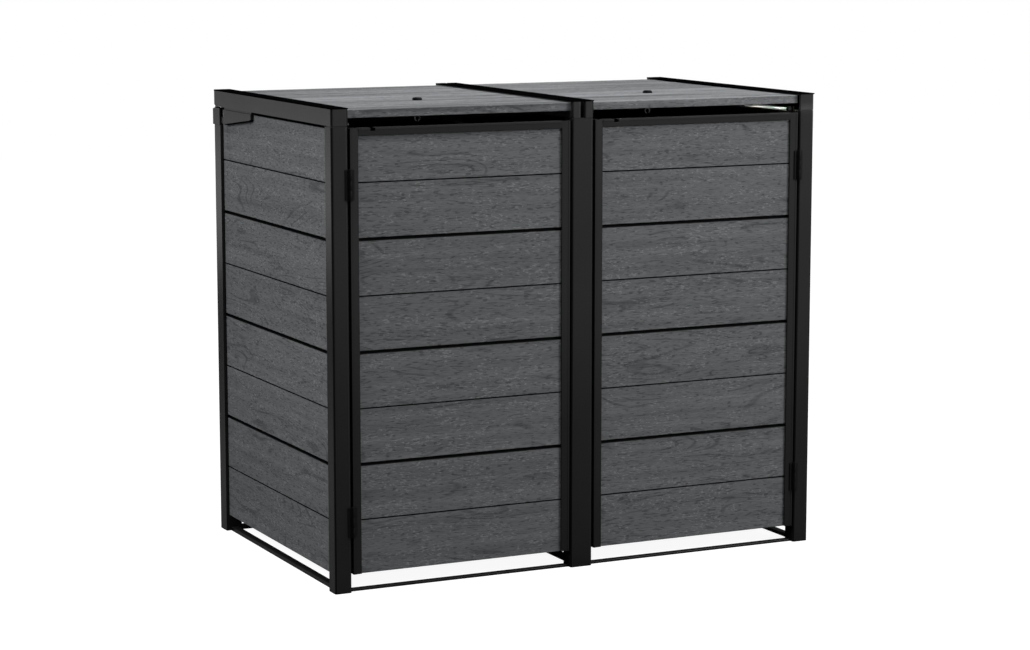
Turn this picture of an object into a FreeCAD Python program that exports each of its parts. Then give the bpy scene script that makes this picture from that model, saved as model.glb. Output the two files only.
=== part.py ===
import FreeCAD, Part
import os
import Sketcher
from types import SimpleNamespace
from FreeCAD import Placement, Rotation, Vector

# Two-bay store for wheeled bins, in millimetres.
# X runs to the right, Y to the rear and Z up, and the doors face -Y.
# The origin is the middle of the footprint, on the ground.
# The left half is modelled, and the right half is its mirror image.

document = FreeCAD.newDocument("bin_store")
sheet = document.addObject("Spreadsheet::Sheet", "Sizes")

# Driving dimensions
driving_dimensions = {
    # outside of the frame
    "width": 1364, "depth": 834, "lid_top": 1200,
    # posts: closed steel tube, narrow at the corners and wide in the middle
    "post_wide": 44, "post_deep": 42, "rear_post_deep": 46, "middle_wide": 61, "post_wall": 2,
    "front_post_top": 1153.5, "rear_post_top": 1107, "lid_rest_top": 1155.5, "lid_rest_inset": 2,
    # blocks that carry the lid pivots on top of the rear posts
    "block_out": 12, "block_deep": 52, "block_top": 1152,
    "block_slope_deep": 14, "block_slope_high": 3,
    "slot_start": 3.6, "slot_wide": 5.2, "slot_back": 10, "slot_floor": 1.5,
    # lid pivots, measured from the rear face and from the ground
    "pivot_inset": 1, "pivot_up": 1121, "pivot_bore": 4, "pin_clearance": 0.05,
    "pin_skin": 0.8, "pin_long": 24,
    # rails of the frame
    "bottom_rail_start": 13, "bottom_rail_wide": 20, "bottom_rail_high": 10, "middle_rail_half": 13,
    "threshold_start": 13, "threshold_deep": 20, "threshold_high": 5.5, "rear_rail_deep": 29,
    "top_rail_low": 1066, "top_rail_high": 30, "middle_top_half": 20,
    "rear_upper_low": 1102, "rear_upper_top": 1154,
    # boards of the walls and doors
    "board_thick": 19, "board_pitch": 278.8, "board_gap": 8, "board_recess": 9, "board_grip": 5,
    "tongue_start": 9, "tongue_thick": 5, "tongue_high": 13, "tongue_play": 0.5,
    "groove_wide": 4, "groove_deep": 5, "slot_play": 0.5,
    "wall_joint": 318, "side_top": 1148, "rear_top": 1102,
    # doors
    "door_gap": 5, "door_thick": 28.8, "door_top": 1150, "door_joint": 320.2, "door_wall": 2.5,
    "door_lip": 5, "door_step": 0.6, "door_slope": 1.4, "door_front_wall": 1.6,
    "stile_wide": 22, "door_rail_high": 18.5, "door_board_recess": 7, "door_grip": 11,
    "bar_low": 60, "bar_high": 30, "bar_thick": 2.5,
    "catch_from_edge": 60, "catch_wide": 12, "catch_high": 7, "catch_play": 0.3,
    "stop_low": 1080, "stop_high": 60, "stop_out": 12, "stop_thick": 3, "stop_play": 0.6,
    # door hinges
    "hinge_low": 141, "hinge_rise": 834, "hinge_high": 75, "knuckle_high": 24.5, "knuckle_gap": 0.5,
    "barrel": 5, "barrel_play": 0.5, "leaf_reach": 12, "leaf_thick": 2.5, "leaf_start": 5.3,
    "hinge_pin": 2.5, "pin_cap": 4, "pin_cap_high": 1.5,
    # lids
    "lid_bottom": 1156, "lid_gap": 8, "lid_wall": 2, "lid_board_low": 18.5, "lid_board_thick": 20,
    "lid_slot_play": 0.5, "lid_board_start": 12, "lid_board_pitch": 277.3, "lid_board_joint": 1,
    "lid_board_edge": 1.2, "lid_grip": 12, "rail_end_long": 20, "rail_end_high": 12,
    "rail_slope_long": 10, "rail_slope_high": 5,
    "batten_wide": 30, "batten_thick": 4, "batten_offset": 170, "batten_front": 40, "batten_back": 30,
    # hinge arms of the lids
    "arm_thick": 8.7, "arm_front": 556, "arm_nose_low": 1136, "arm_nose": 568,
    "arm_nose_under": 1133.5, "arm_heel": 752, "arm_low": 1112.5, "arm_back": 763,
    "arm_back_low": 1127, "arm_top": 1150, "arm_seat_start": 3, "arm_eye": 9.5,
    "arm_tongue_start": 745, "arm_tongue_top": 1126, "arm_tongue_inset": 4, "arm_tongue_thick": 4.4,
    # lifting bolt, eye nut and hook
    "bolt_back": 275, "bolt_head": 12.5, "bolt_head_high": 6.5, "bolt_head_round": 4.5,
    "bolt_shank": 4, "bolt_shank_low": 1165, "bolt_play": 0.3,
    "nut_round": 8, "nut_low": 1163, "neck_round": 3, "eye_middle": 1147.5,
    "eye_ring": 6.6, "eye_wire": 1.6,
    "link_bore": 2.1, "link_round": 4.4, "link_thick": 2.6,
    "hook_neck": 22, "hook_bow": 7, "hook_wire": 1.6,
    # gas struts
    "strut_from_side": 55, "strut_front": 36, "strut_up": 1157, "strut_rear": 620,
    "rod_round": 4, "rod_end": 490, "piston_round": 7.7, "piston_long": 12,
    "tube_round": 9, "tube_start": 240, "tube_neck": 5, "tube_hollow": 7.8, "tube_guide": 15,
    "tube_floor": 10, "tube_socket_half": 8.5,
    "rod_play": 0.1, "socket_round": 8, "socket_thick": 6, "stud_round": 3, "stud_head": 5,
    "stud_head_thick": 1.5, "bracket_thick": 4, "bracket_foot_low": 1120, "bracket_half": 8,
    "bracket_play": 0.5, "lid_plate_thick": 3, "lid_plate_half": 14, "lid_plate_foot": 22,
}


class Size:
    """A length in millimetres with the sheet formula that gives it."""

    def __init__(self, value, formula):
        self.value = value
        self.formula = formula

    def __add__(self, other):
        other = as_size(other)
        return Size(self.value + other.value, f"({self.formula} + {other.formula})")

    def __sub__(self, other):
        other = as_size(other)
        return Size(self.value - other.value, f"({self.formula} - {other.formula})")

    def __mul__(self, number):
        return Size(self.value * number, f"({self.formula} * {number})")

    def __truediv__(self, number):
        return Size(self.value / number, f"({self.formula} / {number})")

    def __neg__(self):
        return Size(-self.value, f"(0 - {self.formula})")


def as_size(length):
    return length if isinstance(length, Size) else Size(float(length), str(float(length)))


for row, (name, value) in enumerate(driving_dimensions.items(), start=1):
    sheet.set(f"A{row}", str(value))
    sheet.setAlias(f"A{row}", name)
document.recompute()

mm = SimpleNamespace(**{
    name: Size(float(value), f"Sizes.{name}") for name, value in driving_dimensions.items()
})

# Axis that each sketch plane is padded along, and whether the pad has to be reversed for that
PLANES = {"YZ": False, "XZ": True, "XY": False}
TURNS = {"x": Rotation(Vector(0, 1, 0), 90), "y": Rotation(Vector(1, 0, 0), -90), "z": Rotation()}

nodes = []


def add(kind, name):
    return document.addObject(kind, name)


def bind(piece, name, length):
    piece.setExpression(name, as_size(length).formula)


def place(piece, corner):
    for axis, length in zip("xyz", corner):
        bind(piece, f"Placement.Base.{axis}", length)
    return piece


def box(name, low, high):
    piece = add("Part::Box", name)
    for side, first, last in zip(("Length", "Width", "Height"), low, high):
        bind(piece, side, as_size(last) - first)
    return place(piece, low)


def cylinder(name, start, axis, radius, length):
    piece = add("Part::Cylinder", name)
    bind(piece, "Radius", radius)
    bind(piece, "Height", length)
    piece.Placement = Placement(Vector(), TURNS[axis])
    return place(piece, start)


def ring(name, middle, axis, radius, wire):
    piece = add("Part::Torus", name)
    bind(piece, "Radius1", radius)
    bind(piece, "Radius2", wire)
    piece.Placement = Placement(Vector(), TURNS[axis])
    return place(piece, middle)


def extruded(name, plane, points, length, corner):
    """A straight piece with one closed section, given as points from its corner."""
    body = add("PartDesign::Body", name)
    section = body.newObject("Sketcher::SketchObject", f"{name}_section")
    origin_plane = [item for item in body.Origin.OriginFeatures if item.Role == f"{plane}_Plane"][0]
    section.AttachmentSupport = [(origin_plane, "")]
    section.MapMode = "FlatFace"
    corners = [(as_size(across), as_size(up)) for across, up in points]
    places = [Vector(across.value, up.value, 0) for across, up in corners]
    count = len(places)
    for index in range(count):
        section.addGeometry(Part.LineSegment(places[index], places[(index + 1) % count]), False)
    for index in range(count):
        section.addConstraint(Sketcher.Constraint("Coincident", index, 2, (index + 1) % count, 1))
    for index, lengths in enumerate(corners):
        for kind, distance in zip(("DistanceX", "DistanceY"), lengths):
            number = section.addConstraint(Sketcher.Constraint(kind, -1, 1, index, 1, distance.value))
            bind(section, f"Constraints[{number}]", distance)
    pad = body.newObject("PartDesign::Pad", f"{name}_pad")
    pad.Profile = section
    pad.Reversed = PLANES[plane]
    bind(pad, "Length", length)
    return place(body, corner)


def cut(name, base, *tools):
    piece = base
    for tool in tools:
        result = add("Part::Cut", f"{name}_cut")
        result.Base = piece
        result.Tool = tool
        piece = result
    return piece


def fuse(name, *pieces):
    piece = add("Part::MultiFuse", name)
    piece.Shapes = list(pieces)
    piece.Refine = True
    return piece


def group(name, *pieces):
    piece = add("Part::Compound", name)
    piece.Links = list(pieces)
    return piece


def node(name, piece):
    piece.Label = name
    nodes.append(piece)
    return piece


def reflect(name, piece):
    mirror = add("Part::Mirroring", name)
    mirror.Source = piece
    mirror.Normal = Vector(1, 0, 0)
    return mirror


def pair(name, piece):
    """A left piece and its mirror image on the right, as two nodes."""
    node(name, piece)
    other = name.replace("left", "right")
    node(other, reflect(other, piece))


def both(name, *pieces):
    """One node that holds the left pieces and their mirror images."""
    mirrored = [reflect(f"{name}_right", piece) for piece in pieces]
    node(name, group(name, *pieces, *mirrored))


# Main planes
left = -mm.width / 2
inside = left + mm.post_wide
middle = -mm.middle_wide / 2
axis_out = mm.barrel + mm.barrel_play
front_out = axis_out + mm.barrel
front = front_out - (front_out + mm.depth + mm.block_out) / 2
rear = front + mm.depth
front_post_back = front + mm.post_deep
rear_post_front = rear - mm.rear_post_deep
wall_low = mm.wall_joint - mm.board_pitch + mm.board_gap / 2
board_high = mm.board_pitch - mm.board_gap
side_out = left + mm.board_recess
side_in = side_out + mm.board_thick
back_out = rear - mm.board_recess
back_in = back_out - mm.board_thick
bay_middle = (inside + middle) / 2


# Boards: a fine groove runs along the middle of each full board, at the same height on the cut ones,
# and a tongue on the top edge fills the joint above
def board_section(high, face_first, with_tongue):
    thick = mm.board_thick
    middle_up = board_high / 2
    half_groove = mm.groove_wide / 2
    tongue_end = mm.tongue_start + mm.tongue_thick
    slot_low = mm.tongue_start - mm.tongue_play
    slot_high = tongue_end + mm.tongue_play
    slot_up = mm.tongue_high - mm.board_gap + mm.tongue_play
    none = as_size(0)
    points = [(none, none), (none, middle_up - half_groove), (mm.groove_deep, middle_up)]
    points += [(none, middle_up + half_groove), (none, high)]
    if with_tongue:
        points += [(mm.tongue_start, high), (mm.tongue_start, high + mm.tongue_high)]
        points += [(tongue_end, high + mm.tongue_high), (tongue_end, high)]
    points += [(thick, high), (thick, none), (slot_high, none), (slot_high, slot_up)]
    points += [(slot_low, slot_up), (slot_low, none)]
    if face_first:
        return points
    return [(thick - across, up) for across, up in points]


def board_wall(name, plane, corner, length, top, face_first=True):
    """Four boards: three of full height with a tongue, and a top one that is cut to size."""
    x, y, low = corner
    pieces = []
    for row in range(3):
        section = board_section(board_high, face_first, True)
        board = extruded(f"{name}_{row}", plane, section, length, (x, y, low + mm.board_pitch * row))
        pieces.append(board)
    last_low = low + mm.board_pitch * 3
    last = board_section(top - last_low, face_first, False)
    pieces.append(extruded(f"{name}_top", plane, last, length, (x, y, last_low)))
    return group(name, *pieces)


# Posts: steel tube, closed on top, with slots that take the ends of the boards
def tube_post(name, low, high):
    wall = mm.post_wall
    outside = box(f"{name}_tube", low, high)
    inner_low = (low[0] + wall, low[1] + wall, -wall)
    inner_high = (high[0] - wall, high[1] - wall, high[2] - wall)
    return cut(f"{name}_shell", outside, box(f"{name}_hollow", inner_low, inner_high))


slot_low = wall_low - mm.slot_play
side_slot_left = side_out - mm.slot_play
side_slot_right = side_in + mm.slot_play
rear_slot_front = back_in - mm.slot_play
rear_slot_back = back_out + mm.slot_play
slot_over = mm.front_post_top + mm.post_wall

front_left = tube_post("front_left_post", (left, front, 0), (inside, front_post_back, mm.front_post_top))
front_slot = box(
    "front_slot",
    (side_slot_left, front_post_back - mm.post_wall * 2, slot_low),
    (side_slot_right, front_post_back + mm.post_wall, mm.side_top + mm.slot_play),
)


def with_rest(name, post, start, end):
    """A front post with the raised rest on top, on which the rails of the lids lie."""
    inset = mm.lid_rest_inset
    rest_low = (start + inset, front + inset, mm.front_post_top - mm.post_wall)
    rest_high = (end - inset, front_post_back - inset, mm.lid_rest_top)
    return fuse(name, post, box(f"{name}_rest", rest_low, rest_high))


front_left_open = cut("front_left_post", front_left, front_slot)
pair("front_left_post", with_rest("front_left_post", front_left_open, left, inside))

middle_high = (-middle, front_post_back, mm.front_post_top)
front_middle = tube_post("front_middle_post", (middle, front, 0), middle_high)
node("front_middle_post", with_rest("front_middle_post", front_middle, middle, -middle))

rear_left = tube_post("rear_left_post", (left, rear_post_front, 0), (inside, rear, mm.rear_post_top))
rear_side_slot = box(
    "rear_side_slot",
    (side_slot_left, rear_post_front - mm.post_wall, slot_low),
    (side_slot_right, rear_post_front + mm.board_grip + mm.slot_play, slot_over),
)
rear_wall_slot = box(
    "rear_wall_slot",
    (inside - mm.post_wall * 2, rear_slot_front, slot_low),
    (inside + mm.post_wall, rear_slot_back, mm.rear_top + mm.slot_play),
)
pair("rear_left_post", cut("rear_left_post", rear_left, rear_side_slot, rear_wall_slot))

rear_middle = tube_post("rear_middle_post", (middle, rear_post_front, 0), (-middle, rear, mm.rear_post_top))
rear_middle_slot = box(
    "rear_middle_slot",
    (middle - mm.post_wall, rear_slot_front, slot_low),
    (-middle + mm.post_wall, rear_slot_back, mm.rear_top + mm.slot_play),
)
node("rear_middle_post", cut("rear_middle_post", rear_middle, rear_middle_slot))


# Rails on the ground, the thresholds, and the rails that tie the posts at the top
def tube_rail(name, low, high, along):
    """A rectangular steel tube, open at the ends of the axis that it runs along."""
    inner_low = [length + mm.post_wall for length in low]
    inner_high = [length - mm.post_wall for length in high]
    inner_low[along] = low[along] - mm.post_wall
    inner_high[along] = high[along] + mm.post_wall
    return cut(name, box(f"{name}_tube", low, high), box(f"{name}_hollow", inner_low, inner_high))


left_rail = box(
    "left_bottom_rail",
    (left + mm.bottom_rail_start, front_post_back, 0),
    (left + mm.bottom_rail_start + mm.bottom_rail_wide, rear_post_front, mm.bottom_rail_high),
)
right_rail = reflect("right_bottom_rail", left_rail)
middle_rail = box(
    "middle_bottom_rail",
    (-mm.middle_rail_half, front_post_back, 0),
    (mm.middle_rail_half, rear_post_front, mm.bottom_rail_high),
)
node("bottom_rails", group("bottom_rails", left_rail, middle_rail, right_rail))

threshold_front = front + mm.threshold_start
threshold_back = threshold_front + mm.threshold_deep
threshold = box("threshold", (inside, threshold_front, 0), (middle, threshold_back, mm.threshold_high))
both("thresholds", threshold)

rear_rail_back = rear_post_front + mm.rear_rail_deep
lower_rail = box(
    "rear_lower_rail",
    (inside, rear_post_front, 0),
    (middle, rear_rail_back, mm.bottom_rail_high),
)
upper_rail = tube_rail(
    "rear_upper_rail",
    (inside, back_in, mm.rear_upper_low),
    (middle, back_out, mm.rear_upper_top),
    0,
)
both("rear_rails", lower_rail, upper_rail)

top_rail_top = mm.top_rail_low + mm.top_rail_high
side_top_rail = tube_rail(
    "side_top_rail",
    (side_in, front_post_back, mm.top_rail_low),
    (inside, rear_post_front, top_rail_top),
    1,
)
both("side_top_rails", side_top_rail)
middle_top_rail = tube_rail(
    "middle_top_rail",
    (-mm.middle_top_half, front_post_back, mm.top_rail_low),
    (mm.middle_top_half, rear_post_front, top_rail_top),
    1,
)
node("middle_top_rail", middle_top_rail)

# Walls
side_start = front_post_back - mm.board_grip
side_long = rear_post_front + mm.board_grip - side_start
side_corner = (side_out, side_start, wall_low)
pair("left_side_boards", board_wall("left_side_boards", "XZ", side_corner, side_long, mm.side_top))

rear_start = inside - mm.board_grip
rear_long = middle + mm.board_grip - rear_start
rear_corner = (rear_start, back_in, wall_low)
rear_boards = board_wall("left_rear_boards", "YZ", rear_corner, rear_long, mm.rear_top, face_first=False)
pair("left_rear_boards", rear_boards)

# Hinge blocks: solid, with a slope behind and a slot for the tongue of each lid arm
block_front = rear + mm.block_out - mm.block_deep
pivot_back = rear - mm.pivot_inset
block_high = mm.block_top - mm.rear_post_top


def hinge_block(name, start, end):
    slope_start = mm.block_deep - mm.block_slope_deep
    section = [(0, 0), (mm.block_deep, 0), (mm.block_deep, block_high - mm.block_slope_high)]
    section += [(slope_start, block_high), (0, block_high)]
    return extruded(name, "YZ", section, end - start, (start, block_front, mm.rear_post_top))


def block_slot(name, start):
    return box(
        name,
        (start + mm.slot_start, block_front - mm.post_wall, mm.rear_post_top + mm.slot_floor),
        (start + mm.slot_start + mm.slot_wide, pivot_back + mm.slot_back, mm.block_top + mm.post_wall),
    )


def pivot_pin(name, start):
    corner = (start + mm.pin_skin, pivot_back, mm.pivot_up)
    return cylinder(name, corner, "x", mm.pivot_bore, mm.pin_long)


outer_block = cut(
    "left_hinge_block",
    hinge_block("left_block_body", left, inside),
    block_slot("left_block_slot", left),
    pivot_pin("left_block_bore", left),
)
pair("left_hinge_block", outer_block)

middle_slot = block_slot("middle_block_slot", middle)
middle_bore = pivot_pin("middle_block_bore", middle)
middle_block = cut(
    "middle_hinge_block",
    hinge_block("middle_block_body", middle, -middle),
    middle_slot,
    middle_bore,
    reflect("middle_slot_right", middle_slot),
    reflect("middle_bore_right", middle_bore),
)
node("middle_hinge_block", middle_block)
both("lid_hinge_pins", pivot_pin("outer_pin", left), pivot_pin("inner_pin", middle))

# Door stops: small plates on the middle post, behind the free stile
stop_front = front + mm.door_thick + mm.stop_play
door_stop = box(
    "door_stop",
    (middle - mm.stop_out, stop_front, mm.stop_low),
    (middle, stop_front + mm.stop_thick, mm.stop_low + mm.stop_high),
)
both("door_stops", door_stop)

# Door frame: stiles and top rail of folded channel that grip the boards
door_left = inside + mm.door_gap
door_right = middle - mm.door_gap
door_low = mm.door_joint - mm.board_pitch + mm.board_gap / 2
door_high = mm.door_top - door_low


def channel_section(deep):
    """Channel that opens away from the corner.

    In front it has a raised lip along the outer edge, slopes back to the opening,
    and is folded back there as far as the boards.
    """
    wall = mm.door_wall
    thick = mm.door_thick
    slope_back = mm.door_step + mm.door_slope
    flange_back = slope_back + mm.door_front_wall
    fold_back = mm.door_board_recess - mm.slot_play
    fold_start = deep - mm.door_front_wall
    points = [(0, 0), (mm.door_lip, 0), (mm.door_lip, mm.door_step), (deep, slope_back)]
    points += [(deep, fold_back), (fold_start, fold_back), (fold_start, flange_back), (wall, flange_back)]
    points += [(wall, thick - wall), (deep, thick - wall), (deep, thick), (0, thick)]
    return points


hinge_stile_section = channel_section(mm.stile_wide)
free_stile_section = [(mm.stile_wide - as_size(across), up) for across, up in hinge_stile_section]
door_corner = (door_left, front, door_low)
hinge_stile = extruded("left_hinge_stile", "XY", hinge_stile_section, door_high, door_corner)
pair("left_door_hinge_stile", hinge_stile)
free_corner = (door_right - mm.stile_wide, front, door_low)
free_stile = extruded("left_free_stile", "XY", free_stile_section, door_high, free_corner)
pair("left_door_free_stile", free_stile)

rail_left = door_left + mm.stile_wide
rail_right = door_right - mm.stile_wide
rail_low = mm.door_top - mm.door_rail_high
rail_channel = channel_section(mm.door_rail_high)
rail_section = [(up, mm.door_rail_high - as_size(across)) for across, up in rail_channel]
catch_low = mm.door_top - mm.catch_high
catch_half = mm.catch_wide / 2


def catch_block(name, middle_x, play):
    return box(
        name,
        (middle_x - catch_half - play, front - play, catch_low - play),
        (middle_x + catch_half + play, front + mm.door_thick + play, mm.door_top + play),
    )


# The catch stands at the same distance from the left edge of both doors
catch_places = {"left": door_left + mm.catch_from_edge, "right": mm.catch_from_edge - door_right}
for side, catch_x in catch_places.items():
    corner = (rail_left, front, rail_low) if side == "left" else (-rail_right, front, rail_low)
    rail = extruded(f"{side}_top_rail", "YZ", rail_section, rail_right - rail_left, corner)
    notch = catch_block(f"{side}_notch", catch_x, mm.catch_play)
    node(f"{side}_door_top_rail", cut(f"{side}_door_top_rail", rail, notch))
    node(f"{side}_door_catch", catch_block(f"{side}_door_catch", catch_x, as_size(0)))

bar_back = front + mm.door_thick
bottom_bar = box(
    "left_bottom_bar",
    (rail_left, bar_back - mm.bar_thick, mm.bar_low),
    (rail_right, bar_back, mm.bar_low + mm.bar_high),
)
pair("left_door_bottom_bar", bottom_bar)

door_board_left = rail_left - mm.door_grip
door_board_long = rail_right + mm.door_grip - door_board_left
door_board_corner = (door_board_left, front + mm.door_board_recess, door_low)
door_board_top = catch_low - mm.slot_play
door_boards = board_wall("left_door_boards", "YZ", door_board_corner, door_board_long, door_board_top)
pair("left_door_boards", door_boards)

# Door hinges: welded leaves with a barrel in front of the gap
hinge_x = inside + mm.door_gap / 2
hinge_y = front - axis_out
knuckle_step = mm.knuckle_high + mm.knuckle_gap
hinge_lows = [mm.hinge_low, mm.hinge_low + mm.hinge_rise]


def hinge_leaf(name, low, outward, knuckles, bore):
    """A leaf on the post (outward -1) or on the door (outward +1), with its knuckles."""
    def span(near, far):
        edges = (hinge_x + near, hinge_x + far)
        return edges if outward > 0 else (hinge_x - far, hinge_x - near)

    plate_start, plate_end = span(mm.leaf_start, mm.leaf_reach)
    leaf_front = front - mm.leaf_thick
    pieces = [box(f"{name}_plate", (plate_start, leaf_front, low), (plate_end, front, low + mm.hinge_high))]
    for index in knuckles:
        knuckle_low = low + knuckle_step * index
        strip_start, strip_end = span(as_size(0), mm.leaf_start)
        strip_low = (strip_start, leaf_front, knuckle_low)
        strip_high = (strip_end, front, knuckle_low + mm.knuckle_high)
        pieces.append(box(f"{name}_strip", strip_low, strip_high))
        axis_start = (hinge_x, hinge_y, knuckle_low)
        pieces.append(cylinder(f"{name}_knuckle", axis_start, "z", mm.barrel, mm.knuckle_high))
    hole = cylinder(f"{name}_bore", (hinge_x, hinge_y, low - mm.pin_cap_high), "z", bore, mm.hinge_high * 2)
    return cut(name, fuse(f"{name}_leaf", *pieces), hole)


def hinge_pin(name, low):
    stem_long = mm.hinge_high + mm.pin_cap_high * 2
    lower_cap = (hinge_x, hinge_y, low - mm.pin_cap_high)
    upper_cap = (hinge_x, hinge_y, low + mm.hinge_high)
    return fuse(
        name,
        cylinder(f"{name}_stem", lower_cap, "z", mm.hinge_pin, stem_long),
        cylinder(f"{name}_lower_cap", lower_cap, "z", mm.pin_cap, mm.pin_cap_high),
        cylinder(f"{name}_upper_cap", upper_cap, "z", mm.pin_cap, mm.pin_cap_high),
    )


both("door_hinge_leaves", *[hinge_leaf("post_leaf", low, -1, (0, 2), mm.hinge_pin) for low in hinge_lows])
both("door_hinge_pins", *[hinge_pin("door_pin", low) for low in hinge_lows])
door_bore = mm.hinge_pin + mm.pin_clearance
door_leaves = [hinge_leaf("door_leaf", low, 1, (1,), door_bore) for low in hinge_lows]
pair("left_door_leaves", group("left_door_leaves", *door_leaves))

# Lid side rails: box section with a slot that takes the ends of the boards
lid_high = mm.lid_top - mm.lid_bottom
inner_rail_right = -mm.lid_gap / 2


def lid_rail(name, start, end, slot_on_right):
    wall = mm.lid_wall
    wide = end - start
    slot_low = mm.lid_board_low
    slot_high = slot_low + mm.lid_board_thick + mm.lid_slot_play
    section = [(0, 0), (wide, 0), (wide, slot_low), (wide - wall, slot_low), (wide - wall, wall)]
    section += [(wall, wall), (wall, lid_high - wall), (wide - wall, lid_high - wall)]
    section += [(wide - wall, slot_high), (wide, slot_high), (wide, lid_high), (0, lid_high)]
    if not slot_on_right:
        section = [(wide - across, up) for across, up in section]
    tube = extruded(f"{name}_tube", "XZ", section, mm.depth, (start, front, mm.lid_bottom))
    front_end = box(f"{name}_front_end", (start, front, mm.lid_bottom), (end, front + wall, mm.lid_top))
    rear_end = box(f"{name}_rear_end", (start, rear - wall, mm.lid_bottom), (end, rear, mm.lid_top))
    foot_low = (start, rear - mm.rail_end_long, mm.lid_bottom)
    foot = box(f"{name}_foot", foot_low, (end, rear, mm.lid_bottom + mm.rail_end_high))
    wedge = [(0, 0), (mm.rail_slope_long, 0), (mm.rail_slope_long, mm.rail_slope_high)]
    slope = extruded(f"{name}_slope", "YZ", wedge, wide, (start, rear - mm.rail_slope_long, mm.lid_bottom))
    return cut(name, fuse(f"{name}_closed", tube, front_end, rear_end, foot), slope)


pair("left_lid_outer_rail", lid_rail("left_lid_outer_rail", left, inside, True))
pair("left_lid_inner_rail", lid_rail("left_lid_inner_rail", middle, inner_rail_right, False))

# Lid boards: laid across the lid, the last one cut to the depth that is left
lid_board_low = mm.lid_bottom + mm.lid_board_low
lid_board_top = lid_board_low + mm.lid_board_thick
lid_board_left = inside - mm.lid_grip
lid_board_long = middle + mm.lid_grip - lid_board_left
bolt_y = front + mm.bolt_back


def lid_board(name, start, end):
    edge = mm.lid_board_edge
    deep = end - start
    high = mm.lid_board_thick
    section = [(0, 0), (deep, 0), (deep, high - edge), (deep - edge, high), (edge, high), (0, high - edge)]
    return extruded(name, "YZ", section, lid_board_long, (lid_board_left, start, lid_board_low))


lid_board_front = front + mm.lid_board_start
second_front = lid_board_front + mm.lid_board_pitch
third_front = second_front + mm.lid_board_pitch
first_board = lid_board("first_lid_board", lid_board_front, second_front - mm.lid_board_joint)
second_board = lid_board("second_lid_board", second_front, third_front - mm.lid_board_joint)
third_board = lid_board("third_lid_board", third_front, rear - mm.lid_wall - mm.lid_slot_play)
bolt_hole_round = mm.bolt_shank + mm.bolt_play
bolt_hole_start = (bay_middle, bolt_y, lid_board_low)
bolt_hole = cylinder("bolt_hole", bolt_hole_start, "z", bolt_hole_round, mm.lid_board_thick)
drilled_board = cut("drilled_lid_board", first_board, bolt_hole)
pair("left_lid_boards", group("left_lid_boards", drilled_board, second_board, third_board))

battens = []
for offset in (-mm.batten_offset, mm.batten_offset):
    batten_left = bay_middle + offset - mm.batten_wide / 2
    battens.append(box(
        "lid_batten",
        (batten_left, front + mm.batten_front, lid_board_low - mm.batten_thick),
        (batten_left + mm.batten_wide, rear - mm.batten_back, lid_board_low),
    ))
pair("left_lid_battens", group("left_lid_battens", *battens))


# Hinge arms: a tapered plate under each side rail, with a tongue that reaches the pivot
def lid_arm(name, start):
    low = mm.arm_low
    back = mm.arm_back - mm.arm_front
    nose = mm.arm_nose - mm.arm_front
    section = [(0, mm.arm_top - low), (0, mm.arm_nose_low - low), (nose, mm.arm_nose_under - low)]
    section += [(mm.arm_heel - mm.arm_front, 0), (back, mm.arm_back_low - low), (back, mm.arm_top - low)]
    arm_front = front + mm.arm_front
    arm_back = front + mm.arm_back
    plate = extruded(f"{name}_plate", "YZ", section, mm.arm_thick, (start, arm_front, low))
    seat = box(
        f"{name}_seat",
        (start + mm.arm_seat_start, arm_front + mm.arm_seat_start, mm.arm_top),
        (start + mm.arm_thick, arm_back, mm.lid_bottom),
    )
    tongue_start = front + mm.arm_tongue_start
    tongue_long = pivot_back - tongue_start
    tongue_left = start + mm.arm_tongue_inset
    tongue_low = mm.pivot_up - mm.arm_eye
    root_top = mm.arm_tongue_top - tongue_low
    outline = [(0, low - tongue_low), (tongue_long, 0), (tongue_long, mm.arm_eye * 2), (0, root_top)]
    tongue_corner = (tongue_left, tongue_start, tongue_low)
    tongue = extruded(f"{name}_tongue", "YZ", outline, mm.arm_tongue_thick, tongue_corner)
    eye_start = (tongue_left, pivot_back, mm.pivot_up)
    eye = cylinder(f"{name}_eye", eye_start, "x", mm.arm_eye, mm.arm_tongue_thick)
    bore = cylinder(f"{name}_bore", eye_start, "x", mm.pivot_bore + mm.pin_clearance, mm.arm_tongue_thick)
    return cut(name, fuse(f"{name}_solid", plate, seat, tongue, eye), bore)


arms = [lid_arm("outer_arm", left), lid_arm("inner_arm", middle)]
pair("left_lid_arms", group("left_lid_arms", *arms))

# Lifting bolt with a domed head, and the eye nut under the lid
head = cylinder("bolt_head", (bay_middle, bolt_y, lid_board_top), "z", mm.bolt_head, mm.bolt_head_high)
document.recompute()
top_edge = 1 + max(range(len(head.Shape.Edges)), key=lambda index: head.Shape.Edges[index].CenterOfMass.z)
dome = add("Part::Fillet", "bolt_dome")
dome.Base = head
dome.Edges = [(top_edge, mm.bolt_head_round.value, mm.bolt_head_round.value)]
shank_corner = (bay_middle, bolt_y, mm.bolt_shank_low)
shank = cylinder("bolt_shank", shank_corner, "z", mm.bolt_shank, lid_board_top - mm.bolt_shank_low)
pair("left_lid_bolt", fuse("left_lid_bolt", dome, shank))

nut_corner = (bay_middle, bolt_y, mm.nut_low)
neck_corner = (bay_middle, bolt_y, mm.eye_middle + mm.eye_ring)
eye_nut = fuse(
    "eye_nut",
    cylinder("nut", nut_corner, "z", mm.nut_round, lid_board_low - mm.nut_low),
    cylinder("nut_neck", neck_corner, "z", mm.neck_round, mm.nut_low - neck_corner[2]),
    ring("nut_ring", (bay_middle, bolt_y, mm.eye_middle), "y", mm.eye_ring, mm.eye_wire),
)
nut_thread = cylinder("nut_thread", shank_corner, "z", mm.bolt_shank, lid_board_low - mm.bolt_shank_low)
pair("left_lid_eye", cut("left_lid_eye", eye_nut, nut_thread))

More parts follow.
